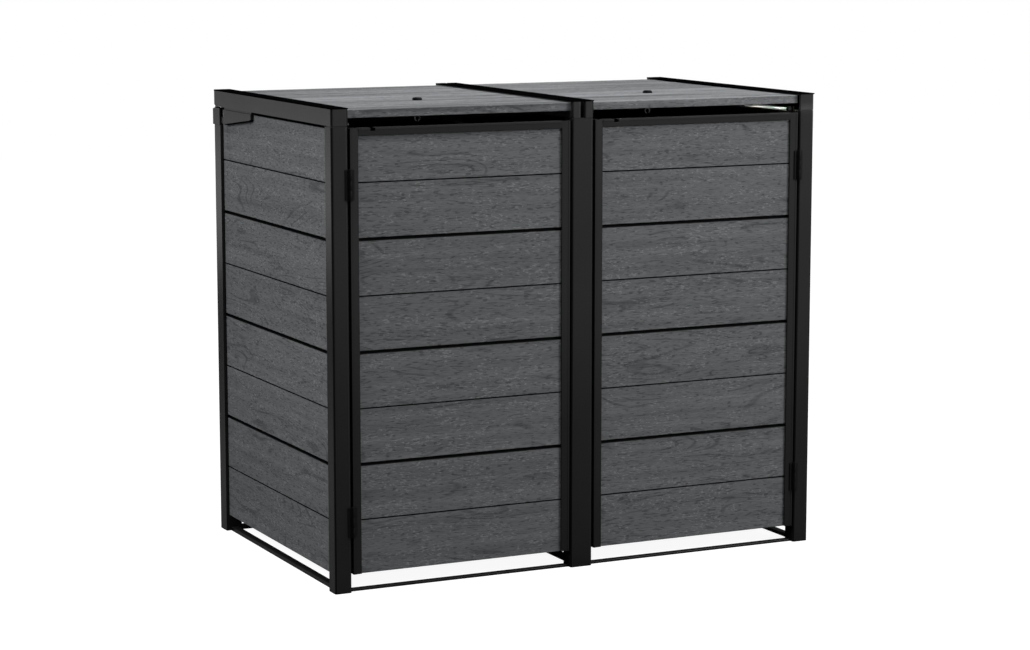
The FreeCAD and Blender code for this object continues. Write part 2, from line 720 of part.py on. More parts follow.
# Hook that hangs in the eye: a flat link around the wire above and an open bow below
wire_up = mm.eye_middle - mm.eye_ring
link_start = (bay_middle - mm.link_thick / 2, bolt_y, wire_up)
link_hole = cylinder("link_hole", link_start, "x", mm.link_bore, mm.link_thick)
link = cut("hook_link", cylinder("link_disc", link_start, "x", mm.link_round, mm.link_thick), link_hole)
neck_top = wire_up - mm.link_bore - mm.hook_wire / 2
bow_up = neck_top - mm.hook_neck - mm.hook_bow
bow = ring("hook_bow", (bay_middle, bolt_y, bow_up), "x", mm.hook_bow, mm.hook_wire)
bow_reach = mm.hook_bow + mm.hook_wire * 2
bow_gap = box(
    "hook_gap",
    (bay_middle - bow_reach, bolt_y - bow_reach, bow_up),
    (bay_middle + bow_reach, bolt_y - mm.hook_wire * 1.5, bow_up + bow_reach),
)
hook_neck_corner = (bay_middle, bolt_y, neck_top - mm.hook_neck)
hook = fuse(
    "left_bin_hook",
    link,
    cylinder("hook_neck", hook_neck_corner, "z", mm.hook_wire, mm.hook_neck),
    cut("hook_open_bow", bow, bow_gap),
)
pair("left_bin_hook", hook)

# Gas strut: rod and piston turn on a stud at the front post, and the tube slides on them
strut_x = left + mm.strut_from_side
strut_y = front + mm.strut_front
strut_z = mm.strut_up
strut_long = mm.strut_rear - mm.strut_front


def along_strut(name, start, radius, length):
    return cylinder(name, (strut_x, strut_y + start, strut_z), "y", radius, length)


socket_left = strut_x - mm.socket_thick / 2
rod_socket = cylinder("rod_socket", (socket_left, strut_y, strut_z), "x", mm.socket_round, mm.socket_thick)
rod_hole_round = mm.stud_round + mm.pin_clearance
rod_hole = cylinder("rod_hole", (socket_left, strut_y, strut_z), "x", rod_hole_round, mm.socket_thick)
rod_start = mm.socket_round - mm.rod_round / 2
rod = fuse(
    "rod_solid",
    rod_socket,
    along_strut("rod_bar", rod_start, mm.rod_round, mm.rod_end - rod_start),
    along_strut("rod_piston", mm.rod_end, mm.piston_round, mm.piston_long),
)
pair("left_strut_rod", cut("left_strut_rod", rod, rod_hole))

tube_end = strut_long - mm.tube_neck
cavity_start = mm.tube_start + mm.tube_guide
tube_left = strut_x - mm.tube_socket_half
tube_socket_corner = (tube_left, strut_y + strut_long, strut_z)
tube = fuse(
    "tube_solid",
    along_strut("tube_shell", mm.tube_start, mm.tube_round, tube_end - mm.tube_start),
    cylinder("tube_socket", tube_socket_corner, "x", mm.socket_round, mm.tube_socket_half * 2),
)
cavity_long = tube_end - mm.tube_floor - cavity_start
cavity = along_strut("tube_cavity", cavity_start, mm.tube_hollow, cavity_long)
guide = along_strut("tube_bore", mm.tube_start, mm.rod_round + mm.rod_play, mm.tube_guide)
tube_hole = cylinder("tube_hole", tube_socket_corner, "x", mm.stud_round, mm.tube_socket_half * 2)
pair("left_strut_tube", cut("left_strut_tube", tube, cavity, guide, tube_hole))

# Front strut bracket: a plate on the post with a headed stud
plate_right = inside + mm.bracket_thick
bracket_front = strut_y - mm.bracket_half
bracket_back = strut_y + mm.bracket_half
stud_start = (plate_right, strut_y, strut_z)
head_start = (strut_x + mm.socket_thick / 2 + mm.bracket_play, strut_y, strut_z)
bracket = fuse(
    "strut_bracket",
    box(
        "bracket_foot",
        (inside, bracket_front, mm.bracket_foot_low),
        (plate_right, front_post_back, mm.block_top),
    ),
    box(
        "bracket_ear",
        (inside + mm.bracket_play, bracket_front, mm.block_top),
        (plate_right, bracket_back, strut_z + mm.bracket_half),
    ),
    cylinder("bracket_stud", stud_start, "x", mm.stud_round, head_start[0] - plate_right),
    cylinder("bracket_head", head_start, "x", mm.stud_head, mm.stud_head_thick),
)
both("strut_brackets", bracket)

# Rear strut bracket: an angle under the lid boards beside the end of the tube
plate_left = strut_x + mm.tube_round + mm.bracket_play
lid_plate_front = strut_y + strut_long - mm.lid_plate_half
lid_plate_back = strut_y + strut_long + mm.lid_plate_half
lid_bracket = fuse(
    "left_lid_strut_bracket",
    box(
        "lid_plate",
        (plate_left, lid_plate_front, strut_z - mm.tube_round),
        (plate_left + mm.lid_plate_thick, lid_plate_back, lid_board_low),
    ),
    box(
        "lid_plate_foot",
        (plate_left, lid_plate_front, lid_board_low - mm.lid_plate_thick),
        (plate_left + mm.lid_plate_foot, lid_plate_back, lid_board_low),
    ),
)
pair("left_lid_strut_bracket", lid_bracket)

# Check every piece, and write one file for each node
document.recompute()
for item in document.Objects:
    if "Invalid" in item.State or "Error" in item.State:
        raise RuntimeError(f"{item.Label} failed: {item.State}")
for piece in nodes:
    if piece.Shape.isNull() or not piece.Shape.isValid() or not piece.Shape.Solids:
        raise RuntimeError(f"{piece.Label} has no valid solid")

os.makedirs("parts", exist_ok=True)
for piece in nodes:
    piece.Shape.exportStep(f"parts/{piece.Label}.step")
    bounds = piece.Shape.BoundBox
    corners = [round(value, 1) for value in (
        bounds.XMin, bounds.YMin, bounds.ZMin, bounds.XMax, bounds.YMax, bounds.ZMax
    )]
    litres = round(piece.Shape.Volume / 1e6, 3)
    print(piece.Label, len(piece.Shape.Solids), "solids", corners, litres, "litres")
print(len(nodes), "nodes")
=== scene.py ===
import math

import bmesh
import bpy
from mathutils import Euler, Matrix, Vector


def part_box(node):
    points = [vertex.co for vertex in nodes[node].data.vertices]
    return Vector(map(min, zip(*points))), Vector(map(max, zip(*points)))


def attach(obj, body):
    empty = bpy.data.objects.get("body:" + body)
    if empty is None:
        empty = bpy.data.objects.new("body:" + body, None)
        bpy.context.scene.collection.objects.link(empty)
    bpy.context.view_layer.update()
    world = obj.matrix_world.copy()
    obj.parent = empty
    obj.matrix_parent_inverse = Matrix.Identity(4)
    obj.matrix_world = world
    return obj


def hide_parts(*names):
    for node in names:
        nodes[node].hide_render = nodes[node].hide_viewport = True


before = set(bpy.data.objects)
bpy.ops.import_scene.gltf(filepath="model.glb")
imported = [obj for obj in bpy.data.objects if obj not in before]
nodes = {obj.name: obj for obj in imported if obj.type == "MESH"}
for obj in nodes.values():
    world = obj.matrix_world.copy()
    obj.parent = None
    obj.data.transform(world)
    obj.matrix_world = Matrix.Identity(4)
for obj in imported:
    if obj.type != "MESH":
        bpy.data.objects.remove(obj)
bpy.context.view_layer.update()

# Camera: stands in front of the left corner, a little above the lids, and looks slightly down.
# Its place and angle were fitted to the corners of the frame.
tilt_down, turn_right = 8.489, 25.872
scene = bpy.context.scene
scene.view_settings.view_transform = "Standard"
camera_data = bpy.data.cameras.new("viewpoint")
camera_data.sensor_width = 36
camera_data.lens = 94.04
camera_data.clip_end = 60
camera = bpy.data.objects.new("viewpoint", camera_data)
camera.location = (-3.1078, -6.4338, 1.6397)
camera.rotation_euler = Euler((math.radians(90 - tilt_down), 0, math.radians(-turn_right)))
scene.collection.objects.link(camera)
scene.camera = camera


# Steel frame: posts, rails, thresholds, hinge blocks and lid arms of folded and welded sheet,
# powder coated in satin black. The coat is slightly orange-peeled and softens every edge, and
# the tube of the front posts and the lid rails has a larger radius on its front corners.
def linear(code):
    """A hex sRGB colour as the linear colour that a shader takes."""
    levels = [int(code[start:start + 2], 16) / 255 for start in (1, 3, 5)]
    return [v / 12.92 if v <= 0.04045 else ((v + 0.055) / 1.055) ** 2.4 for v in levels] + [1]


def put(tree, kind, inputs=(), **settings):
    """Adds one node: settings are its properties, inputs are values, or nodes or sockets to link."""
    made = tree.nodes.new(kind)
    for name, value in settings.items():
        setattr(made, name, value)
    for key, value in dict(inputs).items():
        if isinstance(value, bpy.types.Node):
            value = value.outputs[0]
        if isinstance(value, bpy.types.NodeSocket):
            tree.links.new(value, made.inputs[key])
        else:
            made.inputs[key].default_value = value
    return made


def material(name, constants):
    """A node material: returns it, its tree, its shader with constants set, and object coordinates."""
    made = bpy.data.materials.new(name)
    made.use_nodes = True
    shader = made.node_tree.nodes["Principled BSDF"]
    for socket, value in constants.items():
        shader.inputs[socket].default_value = value
    place = put(made.node_tree, "ShaderNodeTexCoord").outputs["Object"]
    return made, made.node_tree, shader, place


def dress(tree, shader, colour, roughness, relief):
    """Links the shader's patterns: each is a node or one of its sockets."""
    for socket, pattern in (("Base Color", colour), ("Roughness", roughness), ("Normal", relief)):
        output = pattern.outputs[0] if isinstance(pattern, bpy.types.Node) else pattern
        tree.links.new(output, shader.inputs[socket])


def powder_coat(name, dark, pale, gloss, roughness, peel_size):
    """Powder coat on steel: nearly even colour, satin, with a fine orange peel."""
    made, tree, shader, place = material(name, {"Specular IOR Level": gloss})
    cloud = put(tree, "ShaderNodeTexNoise", {"Vector": place, "Scale": 3.0, "Detail": 3.0})
    tint = put(tree, "ShaderNodeValToRGB", {"Fac": cloud})
    for stop, position, colour in zip(tint.color_ramp.elements, (0.3, 0.7), (dark, pale)):
        stop.position, stop.color = position, linear(colour)
    peel = put(tree, "ShaderNodeTexNoise", {"Vector": place, "Scale": 1 / peel_size, "Detail": 1.0})
    relief = put(tree, "ShaderNodeBump", {"Height": peel, "Strength": 0.15, "Distance": 0.0003})
    haze = put(tree, "ShaderNodeMapRange", {
        "Value": cloud, "To Min": roughness - 0.05, "To Max": roughness + 0.05,
    })
    # dust settles on what looks up, and dulls it
    facing = put(tree, "ShaderNodeSeparateXYZ", {0: put(tree, "ShaderNodeTexCoord").outputs["Normal"]})
    dust = put(tree, "ShaderNodeMapRange", {"Value": facing.outputs[2], "From Min": 0.2, "From Max": 0.8})
    dulled = put(tree, "ShaderNodeMath", {0: haze, 1: dust}, operation="MAXIMUM")
    # the rolled corners of the tube get a painted shade line in black, and the coat runs dull over them
    corner = put(tree, "ShaderNodeMath", {0: facing, 1: facing.outputs[1]}, operation="MULTIPLY")
    corner = put(tree, "ShaderNodeMath", {0: corner}, operation="ABSOLUTE")
    corner = put(tree, "ShaderNodeMapRange", {"Value": corner, "From Min": 0.12, "From Max": 0.3})
    dulled = put(tree, "ShaderNodeMath", {0: dulled, 1: corner}, operation="MAXIMUM")
    tint_with_painted_edge_shade = put(tree, "ShaderNodeMixRGB", {0: corner, 1: tint, 2: linear("#020202")})
    dress(tree, shader, tint_with_painted_edge_shade, dulled, relief)
    return made


def geometry_tree(name, inputs):
    """A Geometry Nodes tree with named inputs: returns it and the sockets of its inputs."""
    tree = bpy.data.node_groups.new(name, "GeometryNodeTree")
    tree.interface.new_socket("Geometry", in_out="INPUT", socket_type="NodeSocketGeometry")
    for label, kind in inputs.items():
        tree.interface.new_socket(label, in_out="INPUT", socket_type=f"NodeSocket{kind}")
    tree.interface.new_socket("Geometry", in_out="OUTPUT", socket_type="NodeSocketGeometry")
    return tree, put(tree, "NodeGroupInput").outputs


def run_tree(piece, label, tree, given):
    """Adds a tree to a piece as a modifier, with its inputs set by their sockets' identifiers."""
    modifier = piece.modifiers.new(label, "NODES")
    modifier.node_group = tree
    for item in tree.interface.items_tree:
        if item.item_type == "SOCKET" and item.in_out == "INPUT" and item.name in given:
            modifier[item.identifier] = given[item.name]


def upright_edge_tree():
    """Geometry Nodes: marks the upright edges in one plane, which get the radius of the tube."""
    tree, given = geometry_tree("upright edges", {
        "Plane": "Float", "Plane play": "Float", "Shortest edge": "Float", "Finish": "Material",
    })
    # an edge is chosen where its ends stand apart in height, and both stand in the plane
    ends = put(tree, "GeometryNodeInputMeshEdgeVertices").outputs
    first, second = [
        put(tree, "ShaderNodeSeparateXYZ", {0: ends[f"Position {end}"]}).outputs for end in (1, 2)
    ]
    short = put(tree, "ShaderNodeMath", {
        0: first[2], 1: second[2], 2: given["Shortest edge"],
    }, operation="COMPARE")
    chosen = put(tree, "ShaderNodeMath", {0: 1.0, 1: short}, operation="SUBTRACT")
    for end in (first, second):
        in_plane = put(tree, "ShaderNodeMath", {
            0: end[1], 1: given["Plane"], 2: given["Plane play"],
        }, operation="COMPARE")
        chosen = put(tree, "ShaderNodeMath", {0: chosen, 1: in_plane}, operation="MULTIPLY")
    marked = put(tree, "GeometryNodeStoreNamedAttribute", {
        "Geometry": given["Geometry"], "Name": "bevel_weight_edge", "Value": chosen,
    }, domain="EDGE")
    real = put(tree, "GeometryNodeRealizeInstances", {0: marked})
    coated = put(tree, "GeometryNodeSetMaterial", {"Geometry": real, "Material": given["Finish"]})
    put(tree, "NodeGroupOutput", {0: coated})
    return tree


upright_edges = upright_edge_tree()
tube_radius = 0.006
shortest_corner = 0.03
plane_play = 0.0004
weld_gap = 0.00001
flat_angle = math.radians(0.5)
sharp_angle = math.radians(35)


def eased(name, finish, radius, plane=None):
    """Gives a CAD node its finish, and rounds its edges as the coat does.

    Upright edges in the given plane get the larger radius of the tube.
    """
    piece = nodes[name]
    piece.data.materials.clear()
    piece.data.materials.append(finish)
    piece.modifiers.new("weld", "WELD").merge_threshold = weld_gap
    flat = piece.modifiers.new("flat", "DECIMATE")
    flat.decimate_type = "DISSOLVE"
    flat.angle_limit = flat_angle
    if plane is not None:
        run_tree(piece, "upright", upright_edges, {
            "Plane": plane, "Plane play": plane_play, "Shortest edge": shortest_corner, "Finish": finish,
        })
        rolled = piece.modifiers.new("tube", "BEVEL")
        rolled.width = tube_radius
        rolled.segments = 4
        rolled.limit_method = "WEIGHT"
        rolled.use_clamp_overlap = False
    edge = piece.modifiers.new("edge", "BEVEL")
    edge.width = radius
    edge.segments = 2
    edge.limit_method = "ANGLE"
    edge.angle_limit = sharp_angle


folded_edge = 0.0007
satin_black = powder_coat("satin black powder coat", "#111111", "#151515", 0.19, 0.24, 0.0025)
for name in ("front_left_post", "front_right_post", "front_middle_post"):
    eased(name, satin_black, folded_edge, plane=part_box(name)[0].y)
# painted light: the lid rails get a lighter, a little glossier copy of the same coat
rail_black_lit_copy = powder_coat("satin black powder coat, lid rails", "#131313", "#171717", 0.24, 0.24, 0.0025)
for name in ("left_lid_outer_rail", "left_lid_inner_rail", "right_lid_outer_rail", "right_lid_inner_rail"):
    eased(name, rail_black_lit_copy, folded_edge, plane=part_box(name)[0].y)
frame_pieces = [
    "rear_left_post", "rear_right_post", "rear_middle_post",
    "left_hinge_block", "right_hinge_block", "middle_hinge_block",
    "bottom_rails", "thresholds", "rear_rails", "side_top_rails", "middle_top_rail", "door_stops",
]
door_steel = ("hinge_stile", "free_stile", "top_rail", "bottom_bar")
for side in ("left", "right"):
    frame_pieces += [f"{side}_door_{part}" for part in door_steel]
    frame_pieces += [f"{side}_lid_{part}" for part in ("battens", "arms")]
for name in frame_pieces:
    eased(name, satin_black, folded_edge)

# Black fittings: hinge leaves and pins, strut brackets and tubes, lifting bolts and hooks.
# They are small turned and stamped parts, coated a little darker than the frame.
fitting_black = powder_coat("black coated fittings", "#050505", "#080808", 0.1, 0.55, 0.0015)
fitting_edge = 0.0004
fittings = ["door_hinge_leaves", "door_hinge_pins", "lid_hinge_pins", "strut_brackets"]
for side in ("left", "right"):
    fittings += [f"{side}_door_leaves", f"{side}_lid_strut_bracket"]
    fittings += [f"{side}_strut_tube", f"{side}_lid_bolt", f"{side}_bin_hook"]
for name in fittings:
    eased(name, fitting_black, fitting_edge)

# Boards: extruded wood-plastic composite, embossed with a wood grain and brushed on the face.
# A fine groove runs along the middle of each board, and the two halves carry different grain.
# Fibres and flecks are drawn a few millimetres wide, so that they show from a step away.
board_pitch = 0.2788
joint = 0.008
full_board = board_pitch - joint
uncut_boards = 3
board_thick = 0.019
board_edge = 0.0008
board_groove = (full_board / 2, 0.0019, 0.004)  # its middle, half its width, its depth
tongue_shape = (0.009, 0.014, 0.013, 0.0005)  # its front, its back, its height, its play
board_station = 0.008
face_station = 0.0026
relief_depth = 0.0006
grain_wide, grain_long = 0.007, 0.04
half_shift, board_shift = 3.7, 9.0
up = Vector((0, 0, 1))
# layer, length along the grain, width across it, detail, roughness, levels between which it fades in
grain_layers = (
    ("rings", 0.5, 0.11, 1.0, 0.5, None),
    ("ring patches", 0.2, 0.05, 1.0, 0.5, (0.5, 0.62)),
    ("fibres", 0.022, 0.0036, 2.0, 0.5, (0.3, 0.7)),
    ("flecks", 0.011, 0.004, 1.0, 0.5, (0.56, 0.68)),
    ("fleck patches", 0.09, 0.03, 1.0, 0.5, (0.4, 0.6)),
    ("pores", 0.016, 0.0034, 0.0, 0.5, (0.6, 0.72)),
)
ring_lines = 95.0


def composite(name, along, streak, strength):
    """Board finish: grain along X (0) or Y (1), with tonal bands of a given width and strength."""
    made, tree, shader, place = material(name, {"Specular IOR Level": 0.15})
    shift, brushed = [
        put(tree, "ShaderNodeAttribute", attribute_name=mark).outputs["Fac"] for mark in ("shift", "face")
    ]
    moved = put(tree, "ShaderNodeVectorMath", {0: place, 1: shift}, operation="ADD")
    bands = ("bands", 0.9, streak, 2.0, 0.55, None)
    layers = {}
    for layer, run, across, detail, roughness, fade in (*grain_layers, bands):
        size = [1 / across] * 3
        size[along] = 1 / run
        scaled = put(tree, "ShaderNodeVectorMath", {0: moved, 1: size}, operation="MULTIPLY")
        layers[layer] = put(tree, "ShaderNodeTexNoise", {
            "Vector": scaled, "Scale": 1.0, "Detail": detail, "Roughness": roughness,
        })
        if fade:
            layers[layer] = put(tree, "ShaderNodeMapRange", {
                "Value": layers[layer], "From Min": fade[0], "From Max": fade[1],
            }, interpolation_type="SMOOTHSTEP")
    # growth rings: thin contour lines of a slow, stretched field, which come and go
    turns = put(tree, "ShaderNodeMath", {0: layers["rings"], 1: ring_lines}, operation="MULTIPLY")
    wave = put(tree, "ShaderNodeMath", {0: turns}, operation="SINE")
    contour = put(tree, "ShaderNodeMapRange", {
        "Value": wave, "From Min": 0.55, "From Max": 1.0,
    }, interpolation_type="SMOOTHSTEP")
    rings = put(tree, "ShaderNodeMath", {0: contour, 1: layers["ring patches"]}, operation="MULTIPLY")
    flecks = put(tree, "ShaderNodeMath", {
        0: layers["flecks"], 1: layers["fleck patches"],
    }, operation="MULTIPLY")
    # fibres and flecks stand up, and rings and pores are pressed in
    height = 0.0
    for marks, share in ((layers["fibres"], 0.35), (flecks, 0.8), (rings, -0.5), (layers["pores"], -0.6)):
        height = put(tree, "ShaderNodeMath", {0: marks, 1: share, 2: height}, operation="MULTIPLY_ADD")
    tone = put(tree, "ShaderNodeMath", {
        0: layers["bands"], 1: strength, 2: 0.5 - 0.5 * strength,
    }, operation="MULTIPLY_ADD")
    tone = put(tree, "ShaderNodeMath", {0: height, 1: 0.4, 2: tone}, operation="MULTIPLY_ADD")
    tint = put(tree, "ShaderNodeValToRGB", {"Fac": tone})
    for stop, position, colour in zip(tint.color_ramp.elements, (0.25, 0.95), ("#3d3f40", "#6b6c6e")):
        stop.position, stop.color = position, linear(colour)
    # the sides, the grooves and the tongue keep the dark skin of the extrusion, painted near black as the
    # shade that falls in the joints and the groove
    bare = put(tree, "ShaderNodeMapRange", {
        "Value": brushed, "From Min": 0.35, "From Max": 0.95,
    }, interpolation_type="SMOOTHSTEP")
    skin = put(tree, "ShaderNodeMix", {
        "Factor": bare, 6: linear("#040404"), 7: tint,
    }, data_type="RGBA")
    dull = put(tree, "ShaderNodeMapRange", {"Value": height, "To Min": 0.8, "To Max": 0.65})
    dull = put(tree, "ShaderNodeMapRange", {"Value": brushed, "To Min": 1.0, "To Max": dull})
    relief = put(tree, "ShaderNodeBump", {"Height": height, "Strength": 0.45, "Distance": 0.0008})
    dress(tree, shader, skin.outputs[2], dull, relief)
    return made


def board_run_tree():
    """Geometry Nodes: repeats one board at a pitch and presses the grain into its faces."""
    tree, given = geometry_tree("embossed boards", {
        "Count": "Int", "Pitch": "Vector", "Outward": "Vector", "Grain size": "Vector",
        "Relief depth": "Float", "Seed": "Int", "Finish": "Material",
    })
    line = put(tree, "GeometryNodeMeshLine", {"Count": given["Count"], "Offset": given["Pitch"]})
    boards = put(tree, "GeometryNodeInstanceOnPoints", {"Points": line, "Instance": given["Geometry"]})
    chance = put(tree, "FunctionNodeRandomValue", {
        2: 0.0, 3: board_shift, "Seed": given["Seed"],
    }, data_type="FLOAT")
    marked = put(tree, "GeometryNodeStoreNamedAttribute", {
        "Geometry": boards, "Name": "board", "Value": chance.outputs[1],
    }, domain="INSTANCE")
    real = put(tree, "GeometryNodeRealizeInstances", {0: marked})
    board, half, face = [
        put(tree, "GeometryNodeInputNamedAttribute", {"Name": mark}) for mark in ("board", "half", "face")
    ]
    # each half of each board reads its own stretch of the grain
    shift = put(tree, "ShaderNodeMath", {0: half, 1: half_shift, 2: board}, operation="MULTIPLY_ADD")
    kept = put(tree, "GeometryNodeStoreNamedAttribute", {"Geometry": real, "Name": "shift", "Value": shift})
    place = put(tree, "GeometryNodeInputPosition")
    moved = put(tree, "ShaderNodeVectorMath", {0: place, 1: shift}, operation="ADD")
    scaled = put(tree, "ShaderNodeVectorMath", {0: moved, 1: given["Grain size"]}, operation="DIVIDE")
    grain = put(tree, "ShaderNodeTexNoise", {"Vector": scaled, "Scale": 1.0, "Detail": 2.0})
    pressed = put(tree, "ShaderNodeMath", {0: grain, 1: face}, operation="MULTIPLY")
    deep = put(tree, "ShaderNodeMath", {0: pressed, 1: given["Relief depth"]}, operation="MULTIPLY")
    inward = put(tree, "ShaderNodeVectorMath", {0: given["Outward"], "Scale": -1.0}, operation="SCALE")
    push = put(tree, "ShaderNodeVectorMath", {0: inward, "Scale": deep}, operation="SCALE")
    shaped = put(tree, "GeometryNodeSetPosition", {"Geometry": kept, "Offset": push})
    finished = put(tree, "GeometryNodeSetMaterial", {"Geometry": shaped, "Material": given["Finish"]})
    put(tree, "NodeGroupOutput", {0: finished})
    return tree


def rounded(middle, radius, start, end):
    """Points of a quarter-round edge, from one angle to another in degrees."""
    steps = 4
    points = []
    for step in range(steps + 1):
        angle = math.radians(start + (end - start) * step / steps)
        points.append((middle[0] + radius * math.cos(angle), middle[1] + radius * math.sin(angle)))
    return points


def board_outline(high, thick, edge, groove=None, tongue=None, side=0.0):
    """Section as (depth from the face, height, 1 where it is brushed), going up the face first."""
    stretches = [(edge, high - edge)]
    if groove:
        middle, half, deep = groove
        stretches = [(edge, middle - half), (middle + half, high - edge)]
    rounding = (1 + side) / 2
    points = [(x, y, rounding) for x, y in rounded((edge, edge), edge, 270, 180)[:-1]]
    for index, (low, top) in enumerate(stretches):
        count = max(1, round((top - low) / face_station))
        if index:  # the groove between the two halves narrows towards its floor
            points += [(deep * 0.2, middle - half * 0.85, 0), (deep, middle - half * 0.5, 0)]
            points += [(deep, middle + half * 0.5, 0), (deep * 0.2, middle + half * 0.85, 0)]
        points += [(0, low + (top - low) * row / count, 1) for row in range(count + 1)]
    points += [(x, y, rounding) for x, y in rounded((edge, high - edge), edge, 180, 90)[1:]]
    if tongue:
        start, end, tall, play = tongue
        points += [(start, high, 0), (start, high + tall, 0), (end, high + tall, 0), (end, high, 0)]
    back = 0.001  # the back edges are cut at 45 degrees
    points += [(x, y, side) for x, y in (
        (thick - back, high), (thick, high - back), (thick, back), (thick - back, 0),
    )]
    if tongue:
        slot_up = tall - joint + play
        points += [(end + play, 0, 0), (end + play, slot_up, 0)]
        points += [(start - play, slot_up, 0), (start - play, 0, 0)]
    return points


def closed_piece(name, shape, rings, finish, ease=0.0):
    """An object whose skin runs through rings of points, closed at both ends, with edges eased."""
    for first, second in zip(rings, rings[1:]):
        for index, corner in enumerate(first):
            after = (index + 1) % len(first)
            shape.faces.new((corner, first[after], second[after], second[index]))
    for end in (rings[0], rings[-1]):
        shape.faces.new(end)
    bmesh.ops.recalc_face_normals(shape, faces=shape.faces)
    if ease:
        bmesh.ops.bevel(shape, geom=shape.edges[:], offset=ease, segments=2, affect="EDGES")
    mesh = bpy.data.meshes.new(name)
    shape.to_mesh(mesh)
    shape.free()
    mesh.materials.append(finish)
    made = bpy.data.objects.new(name, mesh)
    scene.collection.objects.link(made)
    return made


def swept_board(name, outline, corner, inward, rise, run, length, finish):
    """One board: the outline carried along its length, with both ends closed."""
    count = round(length / board_station)
    shape = bmesh.new()
    face_mark = shape.verts.layers.float.new("face")
    half_mark = shape.verts.layers.float.new("half")
    rings = []
    for step in range(count + 1):
        base = corner + run * (length * step / count)
        ring = []
        for depth, height, embossed in outline:
            vertex = shape.verts.new(base + inward * depth + rise * height)
            vertex[face_mark] = embossed
            vertex[half_mark] = 1.0 if height > full_board / 2 else 0.0
            ring.append(vertex)
        rings.append(ring)
    return closed_piece(name, shape, rings, finish)


board_tree = board_run_tree()


def embossed(board, count, outward, grain, seed, finish):
    """Runs the board tree on one board and returns the finished, plain mesh object."""
    run_tree(board, "boards", board_tree, {
        "Count": count, "Pitch": up * board_pitch, "Outward": outward, "Grain size": grain,
        "Relief depth": relief_depth, "Seed": seed, "Finish": finish,
    })
    bpy.context.view_layer.update()
    evaluated = board.evaluated_get(bpy.context.evaluated_depsgraph_get())
    mesh = bpy.data.meshes.new_from_object(evaluated)
    board.modifiers.clear()
    board.data = mesh
    return board


def panel_of(node, boards, body):
    """Boards of one wall, door or lid as one object, which stands for their CAD node."""
    shape = bmesh.new()
    for board in boards:
        shape.from_mesh(board.data)
    mesh = bpy.data.meshes.new(f"{node}_embossed")
    shape.to_mesh(mesh)
    shape.free()
    mesh.materials.append(boards[0].data.materials[0])
    for board in boards:
        bpy.data.objects.remove(board)
    panel = bpy.data.objects.new(f"{node}_embossed", mesh)
    scene.collection.objects.link(panel)
    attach(panel, body)
    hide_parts(node)


def board_panel(node, inward, run, body, seed, finish):
    """The four boards of a wall or door: three full ones and a top one cut to size."""
    low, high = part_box(node)
    corner = Vector((high.x if inward.x < 0 else low.x, high.y if inward.y < 0 else low.y, low.z))
    top_start = corner + up * board_pitch * uncut_boards
    length = abs((high - low).dot(run))
    grain = Vector((grain_wide, grain_wide, grain_wide))
    grain[0 if run.x else 1] = grain_long
    boards = []
    for label, start, count, tall, tongue in (
        ("lower", corner, uncut_boards, full_board, tongue_shape),
        ("upper", top_start, 1, high.z - top_start.z, None),
    ):
        outline = board_outline(tall, board_thick, board_edge, board_groove, tongue)
        board = swept_board(f"{node}_{label}", outline, start, inward, up, run, length, finish)
        boards.append(embossed(board, count, -inward, grain, seed + len(boards), finish))
    panel_of(node, boards, body)


rightward, rearward = Vector((1, 0, 0)), Vector((0, 1, 0))
along_x = composite("embossed composite, grain along X", 0, 0.02, 0.5)
along_y = composite("embossed composite, grain along Y", 1, 0.02, 0.5)
board_panel("left_side_boards", rightward, rearward, "frame", 11, along_y)
board_panel("right_side_boards", -rightward, rearward, "frame", 12, along_y)
board_panel("left_rear_boards", -rearward, rightward, "frame", 13, along_x)
board_panel("right_rear_boards", -rearward, rightward, "frame", 14, along_x)
board_panel("left_door_boards", rearward, rightward, "left_door", 15, along_x)
board_panel("right_door_boards", rearward, rightward, "right_door", 16, along_x)

# Lid boards: the same composite, laid flat across each lid with closed joints.
# The last board is cut to the depth that is left, and the front edge stands just behind the rails.
boards_in_lid = 3
lid_pitch = 0.2773
lid_joint = 0.001
lid_edge = 0.0015
lid_grain = Vector((0.05, 0.008, 0.008))
lid_finish = composite("embossed composite of the lids", 0, 0.06, 1.5)
for side, first_seed in (("left", 30), ("right", 40)):
    node = f"{side}_lid_boards"
    low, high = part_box(node)
    boards = []
    for index in range(boards_in_lid):
        start = low.y + lid_pitch * index
        end = min(start + lid_pitch - lid_joint, high.y)
        outline = board_outline(end - start, high.z - low.z, lid_edge, side=1.0)
        corner = Vector((low.x, start, high.z))
        board = swept_board(
            f"{node}_{index}", outline, corner, -up, rearward, rightward, high.x - low.x, lid_finish,
        )
        boards.append(embossed(board, 1, up, lid_grain, first_seed + index, lid_finish))
    panel_of(node, boards, f"{side}_lid")


# Shade strips: matt black caps over the top of each lid rail, slightly crowned, which stand in for
# the shade on the rail tops; they take no light, so the rails are edged in black.
def moulded(name, dark, pale, roughness, grain_size):
    """Moulded plastic: even colour with a fine matt grain."""
    made, tree, shader, place = material(name, {"Specular IOR Level": 0.0})
    cloud = put(tree, "ShaderNodeTexNoise", {"Vector": place, "Scale": 8.0, "Detail": 2.0})
    tint = put(tree, "ShaderNodeValToRGB", {"Fac": cloud})
    for stop, colour in zip(tint.color_ramp.elements, (dark, pale)):
        stop.color = linear(colour)
    grain = put(tree, "ShaderNodeTexNoise", {"Vector": place, "Scale": 1 / grain_size})
    relief = put(tree, "ShaderNodeBump", {"Height": grain, "Strength": 0.2, "Distance": 0.0002})
    haze = put(tree, "ShaderNodeMapRange", {"Value": cloud, "To Min": roughness - 0.05, "To Max": roughness})
    dress(tree, shader, tint, haze, relief)
    return made


# matt black for the moulded catches and rest buffers, and for the painted shade of the rail caps and arm
# lips
matt_black = moulded("matt black moulded plastic", "#010101", "#040404", 0.95, 0.002)
strip_high = 0.0008
strip_out = 0.0004
strip_skirt = 0.003
strip_across, strip_along = 8, 60


